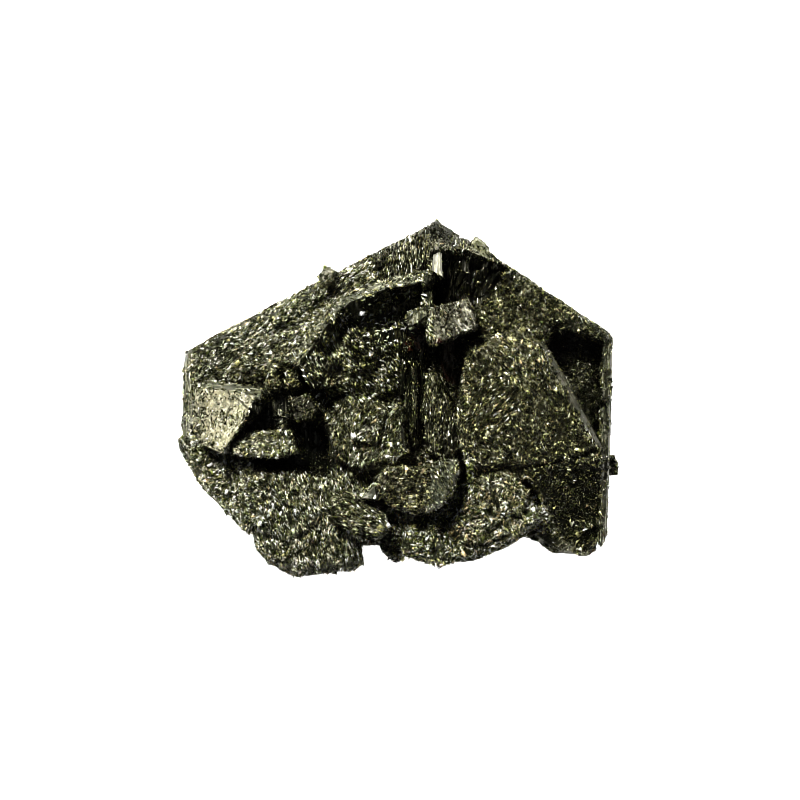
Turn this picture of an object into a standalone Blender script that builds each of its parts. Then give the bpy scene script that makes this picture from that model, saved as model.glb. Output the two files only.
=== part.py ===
"""A cluster of intergrown epidote crystals, one piece of mineral, lying on its flat broken back.

Lengths in the tables are millimetres and the finished mesh is in metres. +X is the right of the cluster, +Y
its pointed top and +Z the way its crystal faces point. The flat back is at Z = 0.
"""

import math
import random

import bmesh
import bpy
from mathutils import Matrix, Vector
from mathutils.bvhtree import BVHTree

MM = 0.001
NODE = "epidote_cluster"
SEED = 11

# Where the large crystals end below the flat back, which cuts them off
FOOT = -5.0
# How far the sides of the wide, the middling and the narrow crystals draw in on their way down
WIDE_TAPER = -6.5
MIDDLE_TAPER = -4.5
NARROW_TAPER = -0.8

# How far a sharp corner may run out when its edges move, as a share of the move
LONGEST_MITRE = 1.6

# How far round and below the cluster the cut reaches
CUT_REACH = 60.0

# Faces that turn by less than this, in radians, count as one flat face
FLAT_WITHIN = 0.002

# The colour and roughness of dark epidote
EPIDOTE_COLOUR = (0.030, 0.036, 0.014, 1.0)
EPIDOTE_ROUGHNESS = 0.35

# Large crystals, each with a convex outline as seen from the front: the height of its front face over the
# middle of the outline, the slopes of that face along X and Y, the height its sides reach down to, the width
# of the bevel round the front face, and how far the sides spread on their way down.
LARGE_CRYSTALS = (
    # The root that all the others grow from
    (((-40.0, 7.0), (-16.0, 20.6), (6.0, 31.0), (12.0, 29.0), (34.0, 15.0), (40.4, 10.6), (40.0, -27.0),
      (31.0, -27.4), (8.0, -27.6), (-20.0, -30.4), (-30.0, -23.0), (-40.0, -11.0)),
     11.0, (0.0, 0.0), FOOT, 1.5, WIDE_TAPER),
    # The left half of the big twin in two crystals, and the plate that rims its left edge
    (((-42.0, 9.6), (-39.4, 11.2), (-15.8, 23.6), (7.3, 35.3), (8.8, 30.0), (4.0, 24.4), (-20.0, 6.2),
      (-34.0, 2.0)), 19.4, (0.10, -0.14), FOOT, 1.4, WIDE_TAPER),
    (((-42.2, 8.6), (-31.0, 9.6), (-20.6, 7.0), (-19.8, 3.0), (-22.6, -8.0), (-30.0, -13.0), (-41.0, -12.6),
      (-42.6, -7.0)), 18.4, (0.04, -0.06), FOOT, 1.0, WIDE_TAPER),
    (((-43.0, 7.6), (-42.3, 9.7), (-41.0, 9.9), (-40.6, -12.0), (-42.6, -11.5), (-43.3, -6.0)),
     17.0, (0.50, 0.0), 6.0, 0.5, NARROW_TAPER),
    (((-27.0, 16.2), (-19.6, 20.8), (-12.6, 25.0), (-12.0, 22.6), (-19.0, 17.4), (-26.0, 13.0)),
     19.7, (0.12, -0.17), 10.0, 0.5, 0.3),
    (((-38.4, 10.6), (-30.0, 14.6), (-26.6, 13.4), (-29.6, 9.4), (-37.0, 7.4)),
     18.4, (0.10, -0.24), 10.0, 0.5, 0.3),
    (((-33.0, 9.0), (-25.0, 12.6), (-21.6, 11.4), (-22.6, 8.0), (-31.0, 5.4)),
     19.7, (0.06, -0.10), 10.0, 0.5, 0.3),
    # The right half, low and dark, with the thin plate that rims its right edge
    (((12.0, 31.9), (21.6, 26.6), (34.6, 17.9), (42.2, 12.6), (42.2, -4.8), (41.2, -12.0), (12.0, -20.0),
      (8.0, 0.0), (9.0, 20.0)), 13.0, (-0.14, 0.34), FOOT, 0.6, WIDE_TAPER),
    (((41.0, 12.9), (42.3, 13.2), (43.0, 12.2), (42.7, -4.8), (42.0, -26.7), (41.0, -29.6), (40.3, -29.0),
      (41.2, -4.8)), 15.0, (-0.50, 0.05), 5.0, 0.4, NARROW_TAPER),
    # The plates along the upper right edge
    (((15.2, 19.2), (19.4, 27.6), (22.0, 26.5), (28.4, 22.2), (33.0, 18.2), (31.4, 13.6), (28.6, 9.6),
     (22.0, 8.0),
      (16.6, 11.0)), 19.0, (-0.10, 0.06), 4.0, 0.9, 0.0),
    (((26.6, 23.2), (34.8, 17.9), (42.6, 13.0), (41.4, 10.9), (36.0, 13.6), (31.0, 15.0)),
     18.0, (-0.16, 0.10), 6.0, 0.7, NARROW_TAPER),
    (((20.6, 24.6), (26.6, 21.2), (31.2, 16.8), (29.8, 14.6), (24.0, 18.4)),
     19.8, (-0.14, 0.10), 10.0, 0.5, 0.3),
    (((16.6, 18.6), (21.0, 19.4), (28.0, 13.0), (25.4, 11.2), (18.0, 13.6)),
     19.8, (-0.04, 0.02), 10.0, 0.5, 0.3),
    # The large plate on the right, with its long slanting edge
    (((13.6, 10.6), (17.0, 12.4), (24.6, 13.4), (29.2, 10.8), (31.6, 7.0), (36.6, -1.8), (41.2, -10.0),
      (36.8, -12.4), (29.2, -14.2), (14.0, -14.6), (11.6, -6.0)), 21.4, (-0.20, 0.12), 4.0, 1.9, 0.3),
    # Low steps on that plate and the strips under its lower edge
    (((19.0, 9.6), (24.6, 11.2), (28.8, 7.4), (35.0, -4.6), (33.0, -6.6), (26.0, 1.4)),
     21.6, (-0.20, 0.16), 12.0, 0.4, 0.3),
    (((14.0, 7.6), (17.4, 9.8), (21.8, 5.0), (24.4, -6.6), (19.0, -9.6), (14.4, -6.0)),
     22.8, (-0.12, 0.10), 12.0, 0.5, 0.3),
    (((13.6, -9.6), (26.6, -9.4), (40.8, -9.6), (41.2, -13.2), (29.4, -16.2), (14.0, -16.4)),
     18.4, (-0.18, 0.20), 1.0, 0.7, 0.0),
    # The dark wedge at the lower right and the slanting face beside it
    (((24.6, -13.4), (41.4, -11.0), (41.2, -26.4), (39.8, -30.9), (38.4, -31.4), (34.0, -29.6)),
     13.6, (-0.20, 0.36), FOOT, 0.8, MIDDLE_TAPER),
    (((25.2, -24.6), (29.4, -20.6), (34.2, -28.8), (38.6, -31.6), (33.4, -31.1), (31.0, -30.7),
     (26.4, -27.4)),
     12.6, (0.06, 0.34), 0.5, 0.9, NARROW_TAPER),
    # The raised crystal inside the upper left, with its dark faces falling to the lower right
    (((-20.2, 7.0), (-12.6, 17.4), (-9.6, 19.4), (6.2, 23.4), (7.0, 18.0), (5.0, 4.0), (-4.0, 0.4),
     (-14.0, 1.4)),
     18.6, (-0.22, 0.34), 6.0, 0.8, 0.6),
    (((-12.4, 8.6), (-9.4, 14.0), (-3.6, 12.6), (-4.6, 6.4), (-9.8, 4.6)),
     19.8, (-0.30, 0.50), 10.0, 0.5, 0.4),
    (((-4.4, 13.6), (0.8, 15.0), (3.6, 9.0), (1.6, 2.4), (-3.6, 5.6)), 17.6, (-0.16, 0.50), 8.0, 0.5, 0.4),
    (((-19.4, 6.0), (-16.4, 10.6), (-12.8, 7.4), (-13.6, 2.6), (-17.6, 2.6)),
     20.4, (-0.50, 0.40), 10.0, 0.5, 0.4),
    (((-7.0, 18.4), (-5.0, 20.6), (-1.8, 19.4), (-1.4, 15.4), (-5.4, 14.6)),
     21.0, (0.10, 0.55), 12.0, 0.5, 0.3),
    (((1.4, 15.4), (2.0, 17.2), (6.0, 18.5), (6.6, 16.8), (5.4, 14.8)),
     23.4, (-0.20, -0.16), 12.0, 0.4, -0.4),
    (((4.4, 17.6), (4.8, 21.6), (6.4, 21.2), (6.8, 17.6)), 24.0, (0.70, 0.10), 12.0, 0.3, 0.0),
    # The filling under the middle, and the low ground of the central valley
    (((-26.0, -2.0), (-12.0, 7.0), (9.0, 9.0), (14.0, -14.0), (8.0, -26.6), (-6.0, -27.0), (-24.0, -22.0)),
     12.6, (0.0, 0.02), FOOT, 0.8, -0.5),
    (((-19.4, -0.6), (-13.4, 1.8), (-5.4, 1.2), (1.8, -3.4), (1.6, -11.6), (-6.0, -14.4), (-13.6, -11.4)),
     15.0, (0.10, -0.22), 5.0, 1.2, 0.5),
    (((-13.2, 0.0), (-7.0, 1.2), (-2.6, -2.4), (-4.4, -9.0), (-9.6, -8.6)),
     16.3, (0.10, -0.18), 8.0, 0.5, 0.5),
    (((-3.0, -1.4), (1.2, -1.6), (2.0, -10.6), (-2.6, -11.4)), 15.9, (0.16, -0.14), 8.0, 0.5, 0.4),
    (((-12.0, -8.4), (-4.4, -7.6), (1.2, -10.6), (-2.0, -14.4), (-9.4, -14.0)),
     15.9, (0.10, 0.04), 8.0, 0.5, 0.4),
    # The plate under the bright block on the left and the small blocks beside them
    (((-32.9, -8.8), (-30.7, -6.1), (-21.4, -6.0), (-19.4, -10.6), (-23.6, -11.6), (-32.5, -10.8)),
     24.9, (-0.10, -0.26), 14.0, 0.4, -1.2),
    (((-21.6, 0.4), (-18.0, 0.9), (-16.4, -1.4), (-17.0, -4.0), (-20.4, -4.2)),
     19.6, (0.10, -0.24), 9.0, 0.4, 0.3),
    (((-26.6, 5.4), (-24.8, 6.2), (-23.2, 3.0), (-24.4, 1.6), (-26.0, 2.4)),
     21.2, (0.20, -0.10), 12.0, 0.4, 0.3),
    (((-22.6, 6.4), (-20.8, 6.0), (-19.8, 2.4), (-22.4, 2.2)), 20.2, (0.10, -0.20), 12.0, 0.4, 0.3),
    # The sugary block in the middle of the top, and the ground of the fan of fine prisms below it
    (((6.2, 18.0), (13.9, 19.9), (15.4, 13.9), (6.8, 10.5), (5.5, 12.2)),
     26.4, (0.10, -0.20), 10.0, 0.35, -0.8),
    (((6.0, 4.8), (7.6, 5.0), (11.4, -4.0), (12.2, -9.6), (9.8, -12.4), (5.8, -10.2), (5.2, -2.0)),
     20.0, (0.34, 0.02), 8.0, 1.3, 0.8),
    (((1.8, 8.2), (4.2, 8.6), (5.2, 0.0), (4.8, -8.8), (2.6, -9.6), (1.4, -2.0)),
     15.4, (-0.30, 0.10), 8.0, 0.7, 0.5),
    # The block in the lower middle, in two crystals, and the prism that leans on it
    (((-4.6, -15.4), (-2.2, -13.4), (5.6, -13.4), (7.0, -21.4), (3.4, -22.6), (-0.6, -21.6), (-3.6, -19.4)),
     24.0, (-0.10, 0.14), 9.0, 0.7, -1.4),
    (((4.4, -13.8), (8.6, -11.8), (11.6, -11.7), (12.2, -14.2), (11.0, -18.2), (8.4, -21.2), (5.4, -22.4)),
     24.8, (-0.20, -0.10), 10.0, 1.0, -1.2),
    (((-7.4, -19.6), (-4.6, -16.9), (-4.2, -19.8)), 22.4, (0.34, -0.30), 12.0, 0.2, 0.4),
    (((-14.8, -21.2), (-13.2, -19.2), (-10.2, -18.9), (-2.6, -22.8), (-1.8, -25.6), (-3.6, -27.6),
     (-6.4, -27.8),
      (-13.6, -23.6)), 24.6, (-0.12, -0.06), 13.0, 1.5, -1.6),
    # The lobes along the bottom
    (((-31.6, -11.6), (-21.7, -12.6), (-12.6, -16.6), (-9.6, -23.6), (-7.7, -28.6), (-7.1, -32.8),
     (-8.8, -34.0),
      (-16.4, -34.8), (-20.6, -35.4), (-26.2, -32.6), (-28.2, -30.0), (-30.6, -22.0)),
     20.0, (0.02, 0.15), FOOT, 1.8, MIDDLE_TAPER),
    (((-29.6, -14.0), (-18.0, -15.4), (-13.6, -18.6), (-16.0, -24.6), (-22.0, -28.4), (-28.0, -26.0)),
     21.3, (0.02, 0.13), 8.0, 0.5, 0.4),
    (((-17.0, -19.0), (-12.6, -20.0), (-9.6, -27.0), (-10.6, -31.0), (-17.0, -31.6), (-20.6, -27.6)),
     20.0, (0.03, 0.13), 8.0, 0.5, 0.4),
    (((-44.0, -7.6), (-43.8, -10.2), (-40.8, -14.0), (-39.6, -17.1), (-35.2, -20.0), (-32.7, -22.8),
     (-29.6, -27.1),
      (-28.6, -24.0), (-28.5, -10.0), (-36.0, -6.0)), 20.0, (0.34, 0.16), FOOT, 1.0, MIDDLE_TAPER),
    (((-0.6, -20.6), (12.3, -18.4), (20.3, -14.4), (26.4, -19.6), (29.0, -24.0), (25.6, -27.0),
      (22.9, -28.9), (18.5, -30.0), (16.0, -31.8), (7.9, -33.2), (4.2, -32.2), (1.4, -31.2)),
     18.8, (-0.02, 0.09), FOOT, 1.5, MIDDLE_TAPER),
    (((14.6, -15.4), (21.6, -13.8), (26.0, -18.4), (24.8, -23.4), (17.0, -21.8)),
     20.0, (-0.02, 0.04), 8.0, 0.5, 0.4),
    (((11.0, -21.0), (18.4, -22.4), (22.4, -26.6), (15.6, -29.6), (10.0, -27.0)),
     19.3, (0.0, 0.06), 8.0, 0.5, 0.4),
    (((1.4, -24.0), (8.4, -23.4), (10.4, -27.0), (7.6, -30.4), (3.4, -30.0)),
     19.2, (0.02, 0.04), 8.0, 0.5, 0.4),
    (((5.8, -32.4), (8.6, -27.4), (10.4, -29.8), (9.8, -32.8), (8.0, -33.6)),
     18.6, (0.10, 0.20), 6.0, 0.3, -0.3),
    (((-4.0, -28.6), (-3.6, -25.0), (1.5, -25.5), (2.0, -29.6), (0.8, -32.2), (-0.8, -32.9), (-3.0, -30.8)),
     14.6, (0.10, 0.34), 2.0, 0.7, -0.6),
    # The lump that sticks out of the right edge and those on the upper edges
    (((41.8, -11.4), (43.6, -11.2), (44.5, -12.8), (44.2, -14.8), (42.6, -15.3), (41.4, -14.0)),
     11.6, (-0.2, 0.1), 6.0, 0.5, -0.5),
    (((-15.8, 24.4), (-14.6, 26.3), (-12.6, 25.6), (-12.8, 23.0), (-14.6, 22.4)),
     21.4, (0.1, -0.3), 12.0, 0.4, 0.0),
    (((14.6, 31.0), (15.6, 32.3), (17.9, 30.4), (17.2, 28.6), (15.2, 28.8)),
     20.4, (-0.2, -0.3), 10.0, 0.4, 0.0),
)

# The crystals whose faces need corners of their own
CORNERED_CRYSTALS = (
    # The crest under the pointed top with its steep striated face
    ((6.2, 29.2, 26.0), (12.6, 29.6, 25.6), (21.4, 26.4, 21.0), (7.7, 35.2, 18.6), (12.4, 32.2, 18.0),
     (5.4, 20.2, 13.0), (9.4, 18.4, 11.6), (15.6, 18.6, 11.0), (5.8, 33.0, 21.4),
     (5.4, 19.0, 2.0), (16.4, 18.0, 2.0), (21.0, 25.8, 2.0), (7.6, 34.0, 2.0), (5.0, 29.0, 2.0)),
    # The bright prism at the left of that face
    ((6.9, 29.2, 25.1), (8.5, 28.8, 25.6), (8.6, 24.0, 27.5), (6.5, 25.3, 26.5),
     (6.6, 29.4, 12.0), (8.8, 29.0, 12.0), (8.9, 23.6, 12.0), (6.3, 24.8, 12.0)),
    # The dark facet under the very tip
    ((7.9, 35.7, 17.4), (5.6, 33.9, 21.6), (8.2, 31.8, 22.2), (10.4, 33.0, 18.4), (10.4, 32.9, 10.0),
     (5.4, 33.4, 10.0), (7.9, 35.0, 8.0), (8.0, 31.8, 8.0)),
    # The lower stretch of the bright rim inside the upper left: outer edge, crest, inner edge and root
    ((-21.3, 7.3, 19.8), (-18.3, 11.6, 20.4), (-13.2, 18.8, 20.8), (-19.9, 6.6, 22.4), (-11.8, 17.6, 24.6),
     (-17.6, 4.6, 18.4), (-8.6, 14.6, 19.4), (-19.6, 6.8, 8.0), (-13.0, 17.8, 8.0), (-9.0, 14.8, 8.0),
     (-17.2, 5.0, 8.0)),
    # The middle stretch of the rim
    ((-14.0, 18.0, 20.8), (-10.2, 20.9, 21.2), (-2.4, 23.8, 21.4), (-12.4, 17.2, 24.2), (-9.4, 19.2, 25.4),
     (-1.8, 21.9, 25.8), (-8.8, 13.8, 19.6), (-1.2, 17.6, 19.8), (-13.0, 17.0, 8.0), (-2.4, 22.8, 8.0),
     (-1.4, 18.0, 8.0), (-8.8, 14.4, 8.0)),
    # The upper stretch of the rim
    ((-3.4, 23.4, 21.2), (3.6, 24.9, 21.4), (6.9, 25.2, 21.0), (-2.8, 21.5, 25.4), (3.4, 22.9, 26.0),
     (6.7, 23.2, 25.2), (-2.0, 18.6, 19.0), (6.4, 20.4, 19.2), (-2.6, 22.4, 8.0), (6.6, 24.2, 8.0),
     (6.4, 20.6, 8.0),
     (-1.8, 18.8, 8.0)),
    # The bright block on the left
    ((-40.3, 2.0, 20.2), (-33.4, 1.7, 23.7), (-27.2, 0.0, 27.2), (-32.8, -7.8, 26.9), (-34.6, -10.5, 26.6),
     (-39.0, -8.7, 24.0), (-40.6, -4.5, 21.8), (-37.8, 3.3, 18.6), (-31.8, 3.1, 20.6), (-27.0, 1.9, 22.6),
     (-40.9, 2.2, 14.0), (-41.0, -4.6, 14.0), (-39.2, -9.4, 12.0), (-34.4, -11.0, 12.0),
     (-31.4, -8.6, 10.0), (-24.4, 0.4, 10.0), (-24.6, 2.6, 10.0), (-38.0, 3.8, 12.0)),
)

# The outline of the whole cluster as seen from the front, which the crystals on its sides stay behind
OUTLINE = (
    (7.9, 35.6), (11.4, 33.3), (17.6, 30.2), (21.7, 27.0), (28.2, 22.7), (34.8, 18.0), (39.8, 15.5),
     (42.9, 13.0),
    (42.6, -4.8), (44.5, -13.0), (42.2, -15.4), (42.0, -26.7), (41.2, -29.5), (39.5, -31.7), (33.6, -31.1),
    (31.0, -30.8), (27.3, -28.0), (25.1, -27.0), (22.9, -29.2), (18.6, -30.2), (16.0, -32.0), (10.1, -33.0),
    (7.9, -33.6), (4.2, -32.4), (1.7, -31.7), (-0.8, -33.0), (-3.0, -30.5), (-4.0, -28.9), (-7.7, -28.9),
    (-7.1, -33.0), (-8.6, -33.9), (-16.4, -34.8), (-20.8, -35.5), (-22.7, -34.2), (-26.4, -33.0),
     (-28.3, -30.5),
    (-29.6, -27.3), (-32.7, -23.0), (-35.2, -20.2), (-39.6, -17.3), (-40.8, -14.2), (-44.0, -10.5),
     (-44.3, -7.3),
    (-43.4, -4.8), (-43.0, 1.4), (-42.7, 7.6), (-42.1, 9.5), (-39.6, 10.8), (-32.7, 14.2), (-27.1, 17.3),
    (-21.4, 21.4), (-15.8, 23.9), (-12.1, 25.5), (-5.2, 28.9), (-0.2, 32.3), (3.6, 34.2),
)

# The fine ridges down the steep face under the crest
STRIA_COUNT = 15
STRIA_WIDTH = 0.85
STRIA_RISE = 0.75
CREST_LEFT = (9.0, 29.0)
CREST_RIGHT = (20.4, 26.2)
TOE_LEFT = (6.8, 20.4)
TOE_RIGHT = (15.4, 19.2)

# The fine prisms of the fan under the sugary block: where each starts and ends, its width and its rise
FAN_PRISMS = (
    ((6.6, 5.2), (6.2, -9.6), 1.4, 1.0),
    ((7.4, 4.4), (8.4, -10.4), 1.2, 1.3),
    ((8.2, 2.4), (10.6, -10.4), 1.3, 1.0),
    ((3.4, 9.2), (3.2, -7.6), 1.1, 1.3),
    ((1.2, 9.0), (0.6, -0.6), 1.2, 1.0),
    ((4.8, 7.2), (4.4, -5.0), 1.0, 1.0),
)

# Areas of small crystals grown over the front: a rectangle as X, X, Y, Y, how many, their shortest and
# longest length, their width as a share of length, how far round from +Y they point and the spread of that,
# in degrees
SMALL_AREAS = (
    ((-41.5, -6.0, -6.0, 32.0), 26, 2.2, 4.4, 0.55, -60.0, 30.0),
    ((-6.0, 22.0, 20.0, 36.0), 26, 3.0, 6.0, 0.34, -8.0, 12.0),
    ((14.0, 42.0, -12.0, 24.0), 18, 2.0, 4.0, 0.60, 30.0, 60.0),
    ((-22.0, 12.0, -16.0, 22.0), 16, 2.0, 4.2, 0.42, 10.0, 40.0),
    ((-43.0, -8.0, -35.0, -8.0), 18, 2.0, 4.0, 0.62, 0.0, 90.0),
    ((-2.0, 41.0, -33.0, -11.0), 18, 2.0, 4.0, 0.62, 0.0, 90.0),
)
SMALL_SINK = 0.16
LOWEST_SMALL = 7.0

# Crystals on the sides, which the front hides: how many, their lengths, and how high over the back they sit
SIDE_COUNT = 46
SIDE_LENGTHS = (7.0, 15.0)
SIDE_HEIGHTS = (2.0, 14.0)
SIDE_SMALL_COUNT = 16
SIDE_SMALL_LENGTHS = (3.0, 6.0)
SIDE_SMALL_HEIGHTS = (1.0, 13.0)


def centre_of(outline):
    """The middle of an outline's corners."""
    return Vector((sum(x for x, _ in outline) / len(outline), sum(y for _, y in outline) / len(outline)))


def edge_normal(start, end, turn):
    """The direction straight out of an outline's edge."""
    run = Vector(end) - Vector(start)
    return Vector((run.y, -run.x)).normalized() * turn


def offset_outline(outline, distance):
    """The outline with every edge moved out by the distance, or in where the distance is negative."""
    following = outline[1:] + outline[:1]
    area = sum(x0 * y1 - x1 * y0 for (x0, y0), (x1, y1) in zip(outline, following))
    turn = math.copysign(1.0, area)
    moved = []
    for before, corner, after in zip(outline[-1:] + outline[:-1], outline, following):
        first = edge_normal(before, corner, turn)
        second = edge_normal(corner, after, turn)
        reach = min(LONGEST_MITRE, 1 / (1 + first.dot(second)))
        moved.append(Vector(corner) + (first + second) * reach * distance)
    return moved


def large_crystal_points(outline, height, slope, foot, bevel, spread):
    """The corners of one large crystal: its front face, the shoulder under the bevel, and its foot."""
    centre = centre_of(outline)

    def front(point):
        arm = point - centre
        return height + slope[0] * arm.x + slope[1] * arm.y

    shoulders = [Vector(corner) for corner in outline]
    points = [Vector((*point, front(point))) for point in offset_outline(outline, -bevel)]
    points += [Vector((*point, front(point) - bevel)) for point in shoulders]
    points += [Vector((*point, foot)) for point in offset_outline(outline, spread)]
    return points


def add_hull(mesh, points):
    """Adds the convex solid over these points to a bmesh, as an island of its own."""
    corners = [mesh.verts.new(point) for point in points]
    made = bmesh.ops.convex_hull(mesh, input=corners, use_existing_faces=False)
    inside = [v for v in made["geom_interior"] + made["geom_unused"] if isinstance(v, bmesh.types.BMVert)]
    bmesh.ops.delete(mesh, geom=list(dict.fromkeys(inside)), context="VERTS")
    verts = [v for v in corners if v.is_valid]
    edges = list(dict.fromkeys(edge for v in verts for edge in v.link_edges))
    bmesh.ops.dissolve_limit(mesh, angle_limit=FLAT_WITHIN, verts=verts, edges=edges)


def crystal_points(length, width, depth, draw):
    """The corners of one prism along Y with slanting ends, about its own middle, slightly irregular."""
    points = []
    for side in (-1, 1):
        for end in (-1, 1):
            reach = end * length * draw.uniform(0.42, 0.50)
            points.append(Vector((side * width * draw.uniform(0.42, 0.52), reach, -0.5 * depth)))
            edge = side * width * draw.uniform(0.14, 0.40)
            points.append(Vector((edge, reach * draw.uniform(0.6, 0.95), 0.5 * depth)))
    return points


def placed(points, at, normal, along):
    """The points turned so that their +Z is the normal and their +Y lies nearest along, then moved."""
    up = normal.normalized()
    side = along.cross(up)
    if side.length < 1e-3:
        side = Vector((1.0, 0.0, 0.0)).cross(up)
    side.normalize()
    forward = up.cross(side)
    turn = Matrix((side, forward, up)).transposed()
    return [turn @ point + at for point in points]


def add_bar(mesh, start, end, width, rise, draw):
    """Adds one fine prism from start to end, its back sunk into the crystal below it."""
    run = end - start
    points = crystal_points(run.length, width, 2 * rise, draw)
    facing = run.cross(Vector((1.0, 0.0, 0.0)))
    if facing.z < 0:
        facing.negate()
    add_hull(mesh, placed(points, (start + end) / 2, facing, run))


def below(surface, x, y):
    """Where a line straight down through this spot first meets the cluster, and the normal there."""
    hit, normal, _, _ = surface.ray_cast(Vector((x, y, 60.0)), Vector((0.0, 0.0, -1.0)))
    return hit, normal


def add_striae(mesh, surface, draw):
    """Adds the ridges that run down the steep face under the crest."""
    for index in range(STRIA_COUNT):
        share = (index + draw.uniform(0.2, 0.8)) / STRIA_COUNT
        top = Vector(CREST_LEFT).lerp(Vector(CREST_RIGHT), share)
        toe = Vector(TOE_LEFT).lerp(Vector(TOE_RIGHT), share)
        start, _ = below(surface, *top.lerp(toe, draw.uniform(0.02, 0.14)))
        end, _ = below(surface, *top.lerp(toe, draw.uniform(0.66, 0.98)))
        width = STRIA_WIDTH * draw.uniform(0.6, 1.4)
        add_bar(mesh, start, end, width, STRIA_RISE * draw.uniform(0.7, 1.3), draw)


def scattered_normal(normal, spread, draw):
    return (normal + Vector([draw.gauss(0.0, spread) for _ in range(3)])).normalized()


def add_small_crystals(mesh, surface, draw):
    """Adds the small crystals over the front."""
    for (x0, x1, y0, y1), count, shortest, longest, share, heading, spread in SMALL_AREAS:
        for _ in range(count):
            hit, normal = below(surface, draw.uniform(x0, x1), draw.uniform(y0, y1))
            length = draw.uniform(shortest, longest)
            width = length * share * draw.uniform(0.75, 1.3)
            depth = width * draw.uniform(0.6, 0.9)
            turned = math.radians(heading + draw.gauss(0.0, spread * 0.5))
            along = Vector((math.sin(turned), math.cos(turned), 0.0))
            if hit is None or hit.z < LOWEST_SMALL:
                continue
            up = scattered_normal(normal, 0.16, draw)
            points = crystal_points(length, width, depth, draw)
            points = placed(points, hit - up * depth * SMALL_SINK, up, along)
            if all(inside_outline(point, 0.6) for point in points):
                add_hull(mesh, points)


def inside_outline(point, allowed):
    """Whether the point lies inside the cluster's outline, or outside it by no more than is allowed."""
    inside = False
    nearest = math.inf
    spot = point.to_2d()
    for first, second in zip(OUTLINE, OUTLINE[1:] + OUTLINE[:1]):
        start = Vector(first)
        run = Vector(second) - start
        share = min(1.0, max(0.0, (spot - start).dot(run) / run.length_squared))
        nearest = min(nearest, (spot - start - run * share).length)
        if (first[1] > spot.y) != (second[1] > spot.y):
            if spot.x < first[0] + (spot.y - first[1]) * run.x / run.y:
                inside = not inside
    return inside or nearest <= allowed


def height_over_front(surface, points):
    """How far the highest of these points stands over the front face above or below it."""
    fronts = [(point, below(surface, point.x, point.y)[0]) for point in points]
    return max((point.z - front.z for point, front in fronts if front), default=0.0)


def add_side_crystals(mesh, surface, draw, count, lengths, heights, sink):
    """Adds crystals round the sides, set back behind the front's outline and let down below its faces."""
    for index in range(count):
        around = math.tau * (index + draw.uniform(0.1, 0.9)) / count
        outward = Vector((math.cos(around), math.sin(around), 0.0))
        start = outward * 70.0 + Vector((-outward.y, outward.x, 0.0)) * draw.uniform(-9.0, 9.0)
        start.z = draw.uniform(*heights)
        hit, normal, _, _ = surface.ray_cast(start, -outward)
        if hit is None:
            continue
        length = draw.uniform(*lengths)
        width = length * draw.uniform(0.35, 0.55)
        depth = width * draw.uniform(0.7, 1.0)
        flat = Vector((normal.x, normal.y, 0.0)).normalized()
        up = scattered_normal(flat, 0.25, draw)
        along = Vector((-flat.y, flat.x, 0.0)) * draw.gauss(0.0, 0.7) + Vector((0.0, 0.0, 1.0))
        points = placed(crystal_points(length, width, depth, draw), hit - flat * depth * sink, up, along)
        set_back = 0
        while set_back < 12 and not all(inside_outline(point, 0.0) for point in points):
            points = [point - flat * 0.3 for point in points]
            set_back += 1
        drop = Vector((0.0, 0.0, max(0.0, height_over_front(surface, points))))
        if all(inside_outline(point, 0.0) for point in points):
            add_hull(mesh, [point - drop for point in points])


def make_material():
    material = bpy.data.materials.new("dark_epidote")
    material.use_nodes = True
    shader = material.node_tree.nodes["Principled BSDF"]
    shader.inputs["Base Color"].default_value = EPIDOTE_COLOUR
    shader.inputs["Roughness"].default_value = EPIDOTE_ROUGHNESS
    return material


def make_object(name, mesh):
    data = bpy.data.meshes.new(name)
    mesh.to_mesh(data)
    mesh.free()
    made = bpy.data.objects.new(name, data)
    bpy.context.scene.collection.objects.link(made)
    return made


def body_of(start):
    """All the faces joined to this one, which are left tagged."""
    start.tag = True
    found = [start]
    for face in found:
        for edge in face.edges:
            for other in edge.link_faces:
                if not other.tag:
                    other.tag = True
                    found.append(other)
    return found


def volume_of(faces):
    """Six times the volume inside these faces, below zero for the walls of a pocket."""
    total = 0.0
    for face in faces:
        first = face.verts[0].co
        for one, two in zip(face.verts[1:], face.verts[2:]):
            total += first.dot(one.co.cross(two.co))
    return total


def fill_pockets(cluster):
    """Grows the crystals together for good, fills the pockets between them, and centres the cluster."""
    bpy.context.view_layer.update()
    grown = cluster.evaluated_get(bpy.context.evaluated_depsgraph_get())
    mesh = bmesh.new()
    mesh.from_mesh(grown.data)
    bodies = [body_of(face) for face in mesh.faces if not face.tag]
    bodies.sort(key=volume_of)
    walls = [face for body in bodies[:-1] for face in body]
    bmesh.ops.delete(mesh, geom=walls, context="FACES")
    across = [v.co.x for v in mesh.verts]
    along = [v.co.y for v in mesh.verts]
    middle = Vector(((min(across) + max(across)) / 2, (min(along) + max(along)) / 2, 0.0))
    bmesh.ops.translate(mesh, verts=mesh.verts, vec=-middle)
    cluster.modifiers.clear()
    mesh.to_mesh(cluster.data)
    mesh.free()


def make_keep_box():
    """The block of space above the flat back. What lies in it is the cluster."""
    mesh = bmesh.new()
    bmesh.ops.create_cube(mesh, size=2 * CUT_REACH * MM)
    bmesh.ops.translate(mesh, verts=mesh.verts, vec=(0.0, 0.0, CUT_REACH * MM))
    box = make_object("space_above_back", mesh)
    box.hide_render = True
    box.display_type = "WIRE"
    return box


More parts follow.
